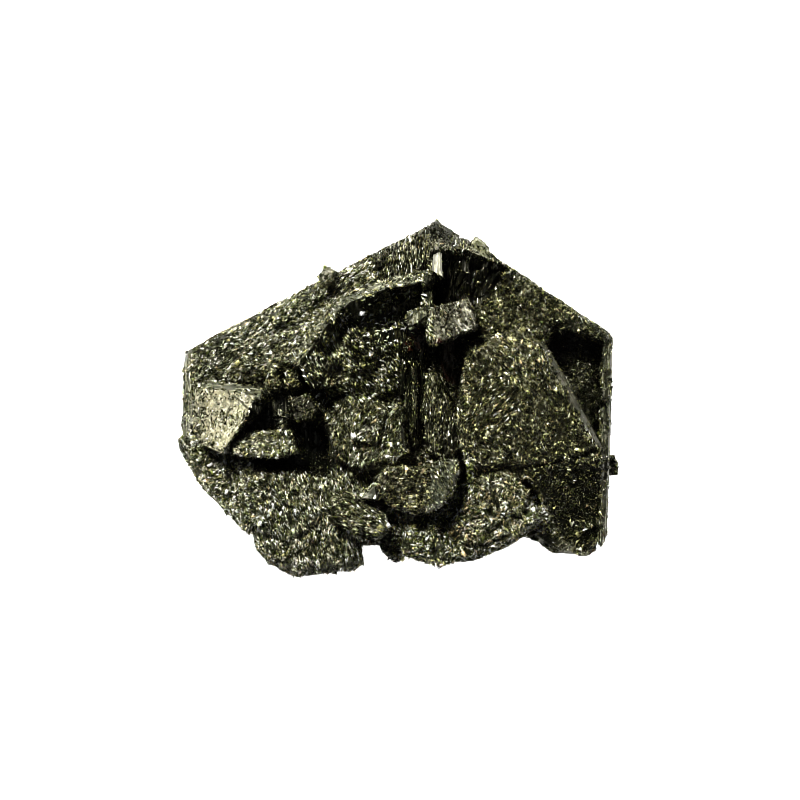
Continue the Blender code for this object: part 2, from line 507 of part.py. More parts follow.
def main():
    for old in list(bpy.data.objects):
        bpy.data.objects.remove(old)
    draw = random.Random(SEED)
    mesh = bmesh.new()
    for crystal in LARGE_CRYSTALS:
        add_hull(mesh, large_crystal_points(*crystal))
    for corners in CORNERED_CRYSTALS:
        add_hull(mesh, [Vector(corner) for corner in corners])
    surface = BVHTree.FromBMesh(mesh)
    add_striae(mesh, surface, draw)
    for start, end, width, rise in FAN_PRISMS:
        add_bar(mesh, below(surface, *start)[0], below(surface, *end)[0], width, rise, draw)
    add_side_crystals(mesh, surface, draw, SIDE_COUNT, SIDE_LENGTHS, SIDE_HEIGHTS, -0.08)
    surface = BVHTree.FromBMesh(mesh)
    add_side_crystals(mesh, surface, draw, SIDE_SMALL_COUNT, SIDE_SMALL_LENGTHS, SIDE_SMALL_HEIGHTS, 0.0)
    add_small_crystals(mesh, surface, draw)
    bmesh.ops.scale(mesh, verts=mesh.verts, vec=(MM, MM, MM))
    cluster = make_object(NODE, mesh)
    cluster.data.materials.append(make_material())
    grown = cluster.modifiers.new("grown_together", "BOOLEAN")
    grown.operation = "INTERSECT"
    grown.solver = "EXACT"
    grown.use_self = True
    grown.object = make_keep_box()
    flat = cluster.modifiers.new("flat_faces_whole", "DECIMATE")
    flat.decimate_type = "DISSOLVE"
    flat.angle_limit = FLAT_WITHIN
    fill_pockets(cluster)


main()
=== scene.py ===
"""The looks of the epidote cluster: its crystal faces, and the fine crystals that coat them like sugar.

The tables are in millimetres, seen from the front, with the photograph's own middle at zero. MIDDLE moves them to
the frame, whose zero is the middle of the cluster's box. Everything that is built is in metres.
"""

import math

import bmesh
import bpy
import numpy as np
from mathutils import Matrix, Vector, noise


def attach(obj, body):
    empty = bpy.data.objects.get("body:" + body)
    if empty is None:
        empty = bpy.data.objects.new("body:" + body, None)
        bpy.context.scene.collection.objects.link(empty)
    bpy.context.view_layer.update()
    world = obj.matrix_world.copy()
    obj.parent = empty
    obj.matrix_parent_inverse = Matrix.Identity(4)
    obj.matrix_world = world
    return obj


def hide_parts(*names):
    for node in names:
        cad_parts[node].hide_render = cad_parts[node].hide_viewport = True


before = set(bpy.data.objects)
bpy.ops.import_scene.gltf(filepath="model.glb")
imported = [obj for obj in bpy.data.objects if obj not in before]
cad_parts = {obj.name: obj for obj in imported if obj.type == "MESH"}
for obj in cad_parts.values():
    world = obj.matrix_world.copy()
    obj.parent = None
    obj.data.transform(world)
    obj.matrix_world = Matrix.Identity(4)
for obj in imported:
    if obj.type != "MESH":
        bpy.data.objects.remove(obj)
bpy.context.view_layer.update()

NODE = "epidote_cluster"
MM = 0.001
MIDDLE = (0.25, 0.15)
SEED = 7

# The photograph: its width, how many of its pixels make a millimetre, and the height that is measured at
PHOTO_WIDTH = 800
PIXELS_PER_MM = 5.0
MEASURED_AT = 17.0
PHOTO_MIDDLE = (0.30, -0.10)
LENS = 100.0
SENSOR = 36.0
SHARPNESS = 0.5

# Edges are split down to this length on faces that look up, on steep faces, and on the cut back
FRONT_EDGE = 0.76
SIDE_EDGE = 1.30
BACK_EDGE = 4.0
FACING_FRONT = 0.15
SPLIT_PASSES = 9

# Crystal faces are broken into small tilted facets, this many to a millimetre, this steep and this far up or down
FACETS_PER_MM = 0.95
FACET_SLOPE = 0.22
FACET_STEP = 0.04
FINE_LIFT = 0.022
BACK_HEIGHT = 0.05

# Palette of the mineral, in linear colour, from dark to pale
BLACK_GREEN = (0.0050, 0.0062, 0.0022)
DEEP_GREEN = (0.0150, 0.0175, 0.0055)
OLIVE = (0.0600, 0.0590, 0.0270)
GREY_GREEN = (0.1100, 0.1200, 0.0820)
TAN = (0.2000, 0.1640, 0.1000)
PISTACHIO = (0.1950, 0.1930, 0.1060)
PALE = (0.4400, 0.4400, 0.3400)
PEARL = (0.3600, 0.3350, 0.2900)
COLOURS = (BLACK_GREEN, DEEP_GREEN, OLIVE, GREY_GREEN, TAN, PISTACHIO, PALE, PEARL)

# The colour of the light that the faces throw back
GLINT_TINT = (1.0, 0.985, 0.85, 1.0)

# How often each of those colours comes in a coat
MIX_SUGAR = (0.34, 0.22, 0.16, 0.10, 0.02, 0.05, 0.07, 0.04)
MIX_BRIGHT = (0.28, 0.18, 0.14, 0.15, 0.02, 0.05, 0.12, 0.06)
MIX_OLIVE = (0.38, 0.23, 0.21, 0.01, 0.03, 0.12, 0.02, 0.00)
MIX_YELLOW = (0.12, 0.16, 0.24, 0.02, 0.06, 0.34, 0.06, 0.00)
MIX_OCHRE = (0.26, 0.20, 0.20, 0.02, 0.10, 0.17, 0.05, 0.00)
MIX_TAN = (0.30, 0.18, 0.13, 0.07, 0.14, 0.04, 0.06, 0.08)
MIX_PEARL = (0.38, 0.14, 0.12, 0.12, 0.05, 0.02, 0.05, 0.12)
MIX_DARK = (0.66, 0.22, 0.07, 0.02, 0.00, 0.02, 0.01, 0.00)
MIX_GREY = (0.10, 0.18, 0.24, 0.32, 0.00, 0.04, 0.04, 0.08)
GRAIN_GAIN = 1.5
PALEST = 0.75


class Finish:
    """How a crystal face itself looks: its colour, how dull it is, and how it is broken up into tiny facets.

    coated is the share of the facets' own colours, tilted is how much they lean, drawn_out is how many times longer
    than wide they are, light moves their colours towards the pale end of the palette, and uneven is how far the
    face's own shape is roughened.
    """

    def __init__(self, colour, dull, coated, tilted, drawn_out=1.0, light=0.0, uneven=1.0):
        self.colour = colour
        self.dull = dull
        self.coated = coated
        self.tilted = tilted
        self.drawn_out = drawn_out
        self.light = light
        self.uneven = uneven


DARK_FACE = (0.0120, 0.0125, 0.0048)
SUGAR = Finish(DARK_FACE, 0.30, 1.0, 1.0, light=-0.04)
BRIGHT_SUGAR = Finish(DARK_FACE, 0.32, 1.0, 1.0, light=0.02)
LOBE_SUGAR = Finish(DARK_FACE, 0.32, 1.0, 1.1, drawn_out=2.0, light=0.0, uneven=0.8)
BLOCK_SUGAR = Finish(DARK_FACE, 0.32, 0.9, 0.8, light=0.06, uneven=0.2)
OLIVE_SUGAR = Finish((0.0340, 0.0310, 0.0080), 0.30, 0.75, 0.9, drawn_out=1.6, light=-0.02, uneven=0.7)
SHADY = Finish(DARK_FACE, 0.20, 0.7, 0.7, light=-0.17, uneven=0.6)
DARK_LINES = Finish((0.0010, 0.0012, 0.0008), 1.0, 0.2, 0.50, drawn_out=6.0, light=-0.25, uneven=0.3)
DULL_CUBE = Finish((0.0100, 0.0110, 0.0070), 1.0, 0.7, 0.60, light=-0.12, uneven=0.1)
OLIVE_CRYSTAL = Finish((0.0480, 0.0450, 0.0140), 0.45, 0.5, 0.40, light=-0.04, uneven=0.1)
BROKEN_DARK = Finish(DARK_FACE, 0.20, 0.8, 1.2, drawn_out=3.0, light=-0.02, uneven=0.8)
SATIN = Finish((0.0600, 0.0680, 0.0500), 0.34, 0.60, 0.55, drawn_out=7.0, light=0.08, uneven=0.15)
DIM_SATIN = Finish((0.0330, 0.0350, 0.0200), 0.36, 0.45, 0.35, drawn_out=9.0, uneven=0.12)
GREY_FACE = Finish((0.0500, 0.0560, 0.0430), 0.30, 0.40, 0.40, drawn_out=2.0, uneven=0.2)
PLATE = Finish((0.1950, 0.1840, 0.1200), 0.45, 0.32, 0.45, light=0.24, uneven=0.08)
DULL_PLATE = Finish((0.0700, 0.0680, 0.0440), 0.40, 0.80, 0.90, drawn_out=1.8, light=0.03, uneven=0.3)
STRIATED = Finish((0.0030, 0.0034, 0.0024), 0.34, 0.85, 0.55, drawn_out=16.0, light=-0.14, uneven=0.15)
GLOSSY = Finish((0.0035, 0.0042, 0.0020), 0.16, 0.3, 0.30, drawn_out=14.0, light=-0.14, uneven=0.2)
RED_PIT = Finish((0.0300, 0.0050, 0.0030), 0.25, 0.15, 0.30, drawn_out=4.0, light=-0.1, uneven=0.4)
STREAKS_ON_BLACK = Finish((0.0040, 0.0044, 0.0026), 0.40, 0.9, 0.9, drawn_out=6.0, light=-0.20, uneven=0.5)
STREAKED = Finish(DARK_FACE, 0.30, 1.0, 1.0, drawn_out=8.0, light=0.0, uneven=0.8)
# Pale streaked finish of a small smooth facet: its paleness is a painted highlight.
PAINTED_HIGHLIGHT_LINES = Finish((0.1500, 0.1520, 0.1440), 0.50, 0.60, 0.55, drawn_out=14.0, light=0.2, uneven=0.1)
PALE_CRYSTAL = Finish((0.1300, 0.1350, 0.0800), 0.28, 0.3, 0.25, drawn_out=2.0, light=0.1, uneven=0.1)


class Zone:
    """An area of the front: the finish of its faces, and the fine crystals that grow there."""

    # The brightness factor after the mix scales its faces and fine crystals: partly their own tone, partly painted
    # light and painted shade set zone by zone for how the lamp falls.
    def __init__(self, outline, finish, mix, gain=1.0, cover=1.0, size=1.0, long=1.25, heading=0.0, swing=90.0,
                 lean=20.0):
        self.outline = outline
        self.finish = finish
        self.mix = mix
        self.gain = gain
        self.cover = cover
        self.size = size
        self.long = long
        self.heading = heading
        self.swing = swing
        self.lean = lean


# Zones have ragged edges: how fine, and how far they wander in millimetres
RAGGED_PER_MM = 1.4
RAGGED_BY = 0.5

# Where two zones overlap, the first in the list holds. The last is everywhere else.
FRONT_ZONES = (
    # Small crystals that show as flat facets of their own
    # This small facet's pale finish is a painted highlight.
    Zone(((6.6, 29.5), (8.8, 29.1), (8.9, 23.8), (6.3, 25.0)), PAINTED_HIGHLIGHT_LINES, MIX_GREY, gain=0.75, cover=0.0),
    Zone(((5.2, 36.4), (10.8, 33.6), (10.4, 31.0), (6.4, 31.4)), DARK_LINES, MIX_DARK, gain=0.3, cover=2.4, long=4.0,
         heading=-8.0, swing=10.0, lean=10.0),
    Zone(((14.0, 32.8), (18.4, 31.2), (17.8, 28.0), (14.0, 28.2)), PALE_CRYSTAL, MIX_GREY, cover=0.1),
    Zone(((-16.2, 24.6), (-14.8, 26.8), (-12.2, 26.0), (-12.4, 22.6), (-14.8, 22.0)), OLIVE_CRYSTAL, MIX_OLIVE, gain=0.6,
         cover=0.3),
    Zone(((-21.9, 0.9), (-17.4, 1.3), (-16.0, -1.6), (-16.8, -4.6), (-20.8, -4.6)), DULL_CUBE, MIX_SUGAR, gain=0.5, cover=0.8),
    Zone(((-10.9, 20.0), (-7.2, 20.6), (-6.8, 16.6), (-8.8, 16.0)), SATIN, MIX_GREY, cover=0.1, size=0.7),
    Zone(((-7.8, -19.9), (-4.6, -16.6), (-3.9, -20.2)), GREY_FACE, MIX_GREY, cover=0.0),
    Zone(((6.2, -31.6), (8.4, -28.4), (9.8, -30.2), (9.4, -32.6)), GREY_FACE, MIX_GREY, cover=0.5),
    Zone(((1.2, 15.2), (1.8, 17.8), (6.2, 19.0), (7.0, 16.8), (5.4, 14.4)), SATIN, MIX_GREY, cover=0.15),
    # Smooth slanting strips
    Zone(((-21.6, 7.0), (-18.6, 11.8), (-13.6, 18.8), (-10.4, 21.2), (-2.6, 24.1), (3.6, 25.3), (6.6, 25.6),
          (6.6, 23.2), (3.4, 22.8), (-1.9, 21.6), (-9.2, 18.9), (-12.0, 17.0), (-19.7, 5.8)),
         SATIN, MIX_SUGAR, gain=1.4, cover=0.6, size=0.8, heading=60.0),
    Zone(((28.0, 11.2), (30.0, 11.0), (41.9, -9.4), (39.9, -10.2)), DIM_SATIN, MIX_GREY, gain=0.7, cover=0.3, size=0.7,
         heading=-30.0),
    Zone(((41.0, 13.4), (43.4, 13.4), (43.4, -30.5), (40.6, -30.5)), SATIN, MIX_GREY, cover=0.4, size=0.7),
    Zone(((-44.6, 10.4), (-41.4, 10.6), (-41.2, -12.0), (-44.6, -12.0)), SATIN, MIX_BRIGHT, gain=1.0, cover=0.5, size=0.8),
    Zone(((-40.2, 2.4), (-37.8, 3.8), (-26.8, 2.3), (-27.2, 0.2), (-33.4, 1.7)), SATIN, MIX_GREY, cover=0.15,
         size=0.7, heading=90.0),
    Zone(((6.4, -13.4), (8.6, -11.6), (12.0, -11.4), (12.4, -14.2), (8.4, -21.6), (5.6, -22.4)), GREY_FACE, MIX_GREY, gain=1.2,
         cover=0.4, size=0.8, heading=-35.0, swing=15.0, long=2.4),
    Zone(((26.0, -26.4), (34.2, -28.6), (39.0, -31.9), (31.0, -31.4), (26.2, -28.0)), DIM_SATIN, MIX_GREY,
         cover=0.5, size=0.8, heading=60.0),
    Zone(((-5.2, -15.4), (-2.2, -13.0), (6.2, -13.0), (7.2, -21.6), (3.4, -23.0), (-4.4, -19.8)), BLOCK_SUGAR,
         MIX_YELLOW, gain=0.65, cover=0.8),
    # The sugar beside the yellow block is lifted with painted light where that block shades it.
    Zone(((11.8, -10.6), (15.0, -11.6), (14.8, -18.0), (11.4, -24.6), (8.2, -23.8), (11.0, -18.0), (12.5, -14.2)),
         SUGAR, MIX_SUGAR, gain=5.0, cover=1.6),
    Zone(((-14.2, 2.6), (-13.8, 5.2), (-11.2, 6.2), (-10.8, 3.4)), OLIVE_SUGAR, MIX_YELLOW, gain=0.9, cover=0.8),
    # Steep and shaded faces, where painted shade darkens some and painted light lifts others
    # The hollow and the streaked faces inside the rim are lifted with painted light, where the rim shades them.
    Zone(((-9.7, 16.9), (-7.7, 19.9), (0.3, 21.3), (5.4, 21.5), (4.9, 16.3), (1.3, 11.2), (-6.7, 11.8)), GLOSSY,
         MIX_GREY, gain=2.2, cover=0.14, size=1.6, long=1.6),
    Zone(((-21.3, 9.0), (-16.1, 14.5), (-12.7, 16.0), (-9.7, 10.9), (-10.7, 5.5), (-16.1, 1.5), (-19.7, 2.9)),
         STREAKS_ON_BLACK, MIX_GREY, gain=2.2, cover=0.42, long=5.0, heading=-30.0, swing=8.0, lean=20.0, size=1.1),
    # The striated face, which looks away from the lamp, is darkened further with painted shade.
    Zone(((8.8, 29.0), (21.4, 26.4), (16.2, 18.6), (5.4, 19.8), (5.4, 24.0), (8.8, 24.0)), STRIATED, MIX_GREY, gain=0.6,
         cover=0.1, size=0.6, long=8.0, swing=6.0, lean=8.0, heading=0.0),
    Zone(((7.0, 11.6), (11.8, 11.6), (11.6, 3.4), (9.6, 3.2)), RED_PIT, MIX_DARK, cover=0.15, size=0.9, long=2.5,
         swing=20.0),
    Zone(((0.4, 14.6), (5.8, 14.6), (5.8, 9.6), (0.4, 9.6)), RED_PIT, MIX_DARK, cover=0.5, size=0.9),
    Zone(((0.4, 9.6), (5.8, 9.6), (5.4, -9.4), (0.4, -10.0)), GLOSSY, MIX_DARK, cover=0.35, size=0.9, long=3.2,
         heading=2.0, swing=10.0, lean=14.0),
    Zone(((5.6, 5.4), (8.4, 5.4), (12.6, -10.0), (9.8, -12.8), (5.4, -10.4)), STREAKED, MIX_SUGAR, gain=0.75, cover=0.4,
         size=0.9, long=3.2, heading=12.0, swing=8.0, lean=12.0),
    # Painted shade: the bright block's shaded side, the hollow right of the plate on the left, the shadow under that
    # plate, and the shade inside the rim.
    Zone(((-27.4, 1.4), (-22.0, 0.2), (-21.6, -4.0), (-32.8, -8.6)), GLOSSY, MIX_DARK, gain=0.5, cover=0.2),
    Zone(((-24.0, -4.4), (-16.6, -4.8), (-13.8, -6.0), (-12.6, -12.0), (-18.6, -13.0), (-19.4, -6.4)), GLOSSY,
         MIX_DARK, gain=0.5, cover=0.25),
    Zone(((-30.0, -11.6), (-19.0, -11.2), (-12.4, -12.6), (-14.4, -15.6), (-26.0, -13.8)), GLOSSY, MIX_DARK, gain=0.5,
         cover=0.3),
    Zone(((-4.6, 22.4), (4.8, 23.2), (4.8, 19.6), (-4.0, 19.6)), GLOSSY, MIX_DARK, gain=0.6, cover=0.2),
    # The ground inside the rim is lifted with painted light where the rim shades it.
    Zone(((-19.7, 5.8), (-12.0, 17.0), (-9.2, 18.9), (-1.9, 21.6), (6.8, 23.2), (6.8, 12.0), (4.0, 2.4),
          (-4.0, -0.6), (-15.0, 0.4)), BROKEN_DARK, MIX_SUGAR, gain=2.6, cover=0.6, size=1.1, long=3.6, heading=-40.0,
         swing=16.0, lean=24.0),
    Zone(((29.8, 15.2), (41.2, 11.8), (41.4, -8.8), (37.0, -1.8), (30.4, 10.0)), SHADY, MIX_DARK, gain=0.6, cover=0.6),
    Zone(((24.6, -13.2), (41.2, -10.6), (41.2, -29.4), (38.6, -31.2), (34.0, -29.2)), SHADY, MIX_OLIVE, gain=1.0, cover=0.5),
    # Bright and coarse sugar
    # The bright block: a painted highlight along its lower-right edge, and its left part painted darker.
    Zone(((-30.6, -0.4), (-27.0, 0.2), (-32.8, -8.0), (-34.6, -10.8), (-35.6, -8.0)), PLATE, MIX_GREY, gain=1.6,
         cover=0.5, size=0.7, lean=12.0),
    Zone(((-41.4, 2.4), (-38.2, 2.4), (-38.4, -9.4), (-41.6, -4.6)), PLATE, MIX_SUGAR, gain=0.7, cover=0.7),
    Zone(((-40.8, 2.2), (-33.4, 1.7), (-27.0, 0.2), (-32.8, -8.0), (-34.6, -10.8), (-39.4, -9.2), (-41.2, -4.6)),
         PLATE, MIX_BRIGHT, gain=0.85, cover=0.6, size=0.7, lean=12.0),
    Zone(((5.2, 18.4), (13.9, 20.3), (15.8, 13.7), (6.8, 10.1), (5.0, 12.2)), DULL_PLATE, MIX_PEARL, gain=0.42, cover=0.9,
         heading=-30.0, swing=25.0, long=2.0, lean=12.0, size=0.6),
    Zone(((-33.2, -9.0), (-30.8, -5.8), (-21.2, -5.8), (-19.0, -10.8), (-23.6, -11.8), (-32.8, -11.0)), BLOCK_SUGAR,
         MIX_SUGAR, gain=2.1, cover=0.7, lean=14.0),
    Zone(((-15.2, -21.4), (-13.2, -18.8), (-10.6, -18.6), (-1.6, -22.4), (-1.6, -26.0), (-4.0, -28.2),
          (-14.0, -24.2)), BLOCK_SUGAR, MIX_SUGAR, gain=1.35, cover=0.6, heading=118.0, swing=15.0, long=2.2, lean=12.0),
    Zone(((-27.2, 6.6), (-19.6, 6.8), (-19.6, 1.6), (-26.6, 1.4)), SUGAR, MIX_OLIVE, gain=0.9, size=1.2, long=2.0, cover=0.8),
    Zone(((-7.0, 31.0), (8.2, 36.6), (8.6, 29.4), (6.8, 25.4), (-4.0, 24.0)), STREAKED, MIX_SUGAR, gain=0.7, long=5.0,
         heading=-6.0, swing=8.0, lean=14.0, cover=0.55),
    Zone(((8.6, 34.0), (20.0, 29.8), (22.4, 27.2), (20.8, 25.4), (8.8, 28.0)), BROKEN_DARK, MIX_SUGAR, gain=0.8,
         long=4.0, heading=4.0, swing=10.0, cover=0.9),
    Zone(((8.0, 36.4), (22.6, 27.4), (20.8, 26.4), (8.8, 29.0)), STREAKED, MIX_SUGAR, long=4.0, heading=4.0,
         swing=12.0, cover=0.9),
    Zone(((-25.0, 22.0), (-7.0, 31.0), (-4.0, 24.0), (-14.0, 19.0), (-20.0, 10.0), (-36.0, 12.0)), LOBE_SUGAR,
         MIX_BRIGHT, gain=1.6, heading=60.0, swing=50.0),
    Zone(((-45.0, 12.0), (-24.0, 24.0), (-20.0, 10.0), (-22.0, 7.0), (-41.0, 4.0)), SUGAR, MIX_BRIGHT, gain=0.95,
         heading=60.0, swing=50.0),
    Zone(((-20.0, 2.0), (-4.0, 1.0), (1.0, -2.0), (1.0, -14.0), (-14.0, -14.0)), BRIGHT_SUGAR, MIX_SUGAR, gain=1.2,
         long=2.4, heading=20.0, swing=50.0),
    Zone(((19.0, 12.6), (28.4, 12.0), (29.4, 7.6), (26.0, 2.4), (21.6, 4.4)), OLIVE_SUGAR, MIX_OCHRE, gain=1.5,
         cover=0.9, heading=-40.0, swing=35.0),
    Zone(((13.0, 3.0), (20.0, 6.0), (24.0, -1.0), (20.0, -8.0), (13.4, -5.0)), OLIVE_SUGAR, MIX_OCHRE, gain=1.25,
         cover=0.9, heading=45.0, swing=35.0),
    Zone(((12.4, 12.8), (29.6, 13.4), (41.6, -9.6), (41.6, -13.0), (12.0, -16.4)), OLIVE_SUGAR, MIX_OLIVE, gain=1.1,
         cover=0.75, heading=-30.0, swing=60.0),
    Zone(((14.0, 26.0), (23.0, 27.0), (42.0, 13.2), (30.0, 14.0), (14.0, 12.0)), OLIVE_SUGAR, MIX_OLIVE, gain=1.15, cover=0.8),
    # Lower lobes: their high factors paint light into ground that the raised crystals above them shade; the knob first
    # in this group is kept lower because its top catches the lamp.
    Zone(((14.0, -14.6), (22.0, -13.2), (26.6, -18.2), (25.2, -24.0), (22.6, -27.0), (15.6, -30.0), (10.4, -27.2),
          (11.0, -20.6)), LOBE_SUGAR, MIX_TAN, gain=1.7),
    Zone(((-2.0, -16.0), (26.0, -14.0), (34.0, -31.0), (10.0, -34.5), (-1.0, -32.0)), LOBE_SUGAR, MIX_TAN, gain=3.5),
    Zone(((-46.0, -6.0), (-26.0, -10.0), (-28.0, -30.0), (-46.0, -12.0)), LOBE_SUGAR, MIX_BRIGHT, gain=2.0, size=0.85),
    Zone(((-32.0, -12.0), (-6.0, -12.0), (-6.0, -36.0), (-32.0, -36.0)), LOBE_SUGAR, MIX_PEARL, gain=1.75, long=2.4, heading=-14.0, swing=40.0, size=0.85),
    Zone(((-60.0, 60.0), (60.0, 60.0), (60.0, -60.0), (-60.0, -60.0)), SUGAR, MIX_SUGAR),
)

# Steep faces all round take one of these, the same all over a face. Their lines run up and down.
SIDE_ZONES = (
    Zone((), SUGAR, MIX_SUGAR, cover=1.0, size=1.2),
    Zone((), OLIVE_SUGAR, MIX_OLIVE, cover=0.8, size=1.1),
    Zone((), Finish((0.0200, 0.0225, 0.0110), 0.24, 0.5, 0.5, drawn_out=8.0, uneven=0.35), MIX_OLIVE, cover=0.25),
)
ZONES = FRONT_ZONES + SIDE_ZONES

# Kinds of fine crystal: how many there are, and their width and how far drawn out they are, in millimetres
FINE_COUNT, FINE_WIDTH, FINE_LONG = 60000, 0.27, 1.5
NEEDLE_COUNT, NEEDLE_WIDTH, NEEDLE_LONG = 36000, 0.20, 3.2
FILAMENT_COUNT, FILAMENT_WIDTH, FILAMENT_LONG = 9000, 0.15, 7.0
SMALL_COUNT, SMALL_WIDTH, SMALL_LONG = 1500, 0.36, 1.2
COARSE_COUNT, COARSE_WIDTH, COARSE_LONG = 60, 0.50, 1.0
LONGEST = 1.6
SIZE_SPREAD = 0.40
SIDE_SHARE = 0.32
UNDER_SHARE = 0.20
LOWEST_GRAIN = 0.45
PIECE_TRIANGLES = 190000
CLUMPS_PER_MM = 0.45
CLUMP_CONTRAST = 2.0
COLOUR_CLUMPS_PER_MM = 0.8
COLOUR_CLUMPING = 1.2
TUFTS_PER_MM = 3.6
TUFTING = 0.6
TUFT_CONTRAST = 0.8


def inside(points, outline):
    """Which of the points, an array of X and Y, lie inside the outline."""
    hit = np.zeros(len(points), bool)
    x, y = points[:, 0], points[:, 1]
    for (x0, y0), (x1, y1) in zip(outline, outline[1:] + outline[:1]):
        if y0 == y1:
            continue
        crosses = (y0 > y) != (y1 > y)
        hit ^= crosses & (x < (x1 - x0) * (y - y0) / (y1 - y0) + x0)
    return hit


def front_zone_of(points):
    """The number of the front zone over each point. Points are in metres, in the frame."""
    push = [noise_at(points + shift, RAGGED_PER_MM) for shift in (0.0, 0.1)]
    flat = points[:, :2] / MM + np.array(MIDDLE) + np.column_stack(push) * RAGGED_BY
    zone = np.full(len(points), len(FRONT_ZONES) - 1)
    left = np.ones(len(points), bool)
    for number, area in enumerate(FRONT_ZONES):
        here = left & inside(flat, area.outline)
        zone[here] = number
        left &= ~here
    return zone


def side_zone_of(face):
    """The number of the side zone that a steep face takes, the same for every face in one plane."""
    offset = face.normal.dot(face.verts[0].co) / MM
    pick = noise.cell(face.normal * 9.0 + Vector((offset * 0.7, 0.0, 0.0)))
    return len(FRONT_ZONES) + int(abs(pick) * 997) % len(SIDE_ZONES)


def zones_of(mesh):
    """The zone of every face and of every corner. A corner takes the zone of the face there that looks up most."""
    middles = np.array([face.calc_center_median() for face in mesh.faces])
    faces = front_zone_of(middles)
    for face in mesh.faces:
        if face.normal.z < FACING_FRONT:
            faces[face.index] = side_zone_of(face)
    corners = np.zeros(len(mesh.verts), int)
    for vert in mesh.verts:
        highest = max(vert.link_faces, key=lambda face: face.normal.z)
        corners[vert.index] = faces[highest.index]
    return faces, corners


def zone_values(zones, name):
    return np.array([getattr(area, name) for area in ZONES], float)[zones]


def finish_values(zones, name):
    return np.array([getattr(area.finish, name) for area in ZONES], float)[zones]


def noise_at(points, per_mm):
    """Smooth noise, about -1 to 1, at each of the points."""
    return np.array([noise.noise(Vector(point)) for point in points / MM * per_mm])


def longest_allowed(edge):
    """How long an edge may be, from the faces beside it."""
    rise = max(face.normal.z for face in edge.link_faces)
    if rise > FACING_FRONT:
        return FRONT_EDGE * MM
    return SIDE_EDGE * MM if rise > -0.99 else BACK_EDGE * MM


def split_mesh(node):
    """A copy of the node's mesh with every long edge split."""
    mesh = bmesh.new()
    mesh.from_mesh(node.data)
    bmesh.ops.remove_doubles(mesh, verts=mesh.verts, dist=1e-6)
    mesh.normal_update()
    for _ in range(SPLIT_PASSES):
        longest = {max(face.edges, key=lambda edge: edge.calc_length()) for face in mesh.faces}
        long = [edge for edge in mesh.edges if edge in longest and edge.calc_length() > longest_allowed(edge)]
        if not long:
            break
        bmesh.ops.subdivide_edges(mesh, edges=long, cuts=1, use_single_edge=True)
        bmesh.ops.triangulate(mesh, faces=[face for face in mesh.faces if len(face.verts) > 3])
        mesh.normal_update()
    return mesh


def facet_lift(at):
    """How far up or down a small tilted facet puts a point, in millimetres."""
    middle = noise.voronoi(at * FACETS_PER_MM)[1][0]
    tilt = noise.noise_vector(middle * 5.3)
    away = at - middle / FACETS_PER_MM
    return tilt.dot(away) * FACET_SLOPE + noise.noise(middle * 9.1) * FACET_STEP


def break_up(mesh, zones):
    """Moves each corner along its normal, so that no crystal face is quite flat."""
    uneven = finish_values(zones, "uneven")
    moves = []
    for vert, share in zip(mesh.verts, uneven):
        at = vert.co / MM
        if at.z < BACK_HEIGHT:
            moves.append(Vector())
            continue
        lift = facet_lift(at) + noise.noise(at * 2.9) * FINE_LIFT
        moves.append(vert.normal * (lift * share * MM))
    for vert, move in zip(mesh.verts, moves):
        vert.co += move


def set_attribute(data, name, kind, values, domain="POINT"):
    made = data.attributes.new(name, kind, domain)
    place = {"FLOAT": "value", "FLOAT_VECTOR": "vector", "FLOAT_COLOR": "color"}[kind]
    made.data.foreach_set(place, np.ascontiguousarray(values).ravel())


def with_alpha(colours):
    return np.column_stack((colours, np.ones(len(colours))))


def new_object(name, data, material):
    made = bpy.data.objects.new(name, data)
    bpy.context.scene.collection.objects.link(made)
    data.materials.append(material)
    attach(made, "root")
    return made


def corners_of(data):
    flat = np.empty(len(data.vertices) * 3)
    data.vertices.foreach_get("co", flat)
    return flat.reshape(-1, 3)


def lines_along(zones, facing):
    """Which way the facets of each face are drawn out, as a vector that is longer the further they are.

    It lies in the face, so that the lines run the zone's way when they are seen from above.
    """
    turned = np.radians(zone_values(zones, "heading"))
    across, ahead = np.sin(turned), np.cos(turned)
    climb = -(facing[:, 0] * across + facing[:, 1] * ahead) / np.maximum(facing[:, 2], FACING_FRONT)
    along = unit(np.column_stack((across, ahead, climb)))
    along[zones >= len(FRONT_ZONES)] = (0.0, 0.0, 1.0)
    return along * np.sqrt(1 - 1 / finish_values(zones, "drawn_out"))[:, None]


def make_faces(node, material):
    """The crystal faces as one piece, and the zone of each of its faces."""
    mesh = split_mesh(node)
    mesh.verts.index_update()
    mesh.faces.index_update()
    face_zones, zones = zones_of(mesh)
    facing = np.array([face.normal for face in mesh.faces])
    break_up(mesh, zones)
    data = bpy.data.meshes.new("crystal_faces")
    mesh.to_mesh(data)
    mesh.free()
    finish = np.column_stack([finish_values(zones, name) for name in ("dull", "coated", "tilted")])
    set_attribute(data, "face_colour", "FLOAT_COLOR", with_alpha(finish_values(zones, "colour")))
    set_attribute(data, "face_finish", "FLOAT_VECTOR", finish)
    set_attribute(data, "face_lines", "FLOAT_VECTOR", lines_along(face_zones, facing), "FACE")
    set_attribute(data, "face_light", "FLOAT", finish_values(zones, "light"))
    # Each corner carries its zone's brightness factor: own tone, with painted light and painted shade, together.
    set_attribute(data, "face_tone_and_painted_light", "FLOAT", np.sqrt(zone_values(zones, "gain")))
    made = new_object("crystal_faces", data, material)
    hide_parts(NODE)
    return made, face_zones


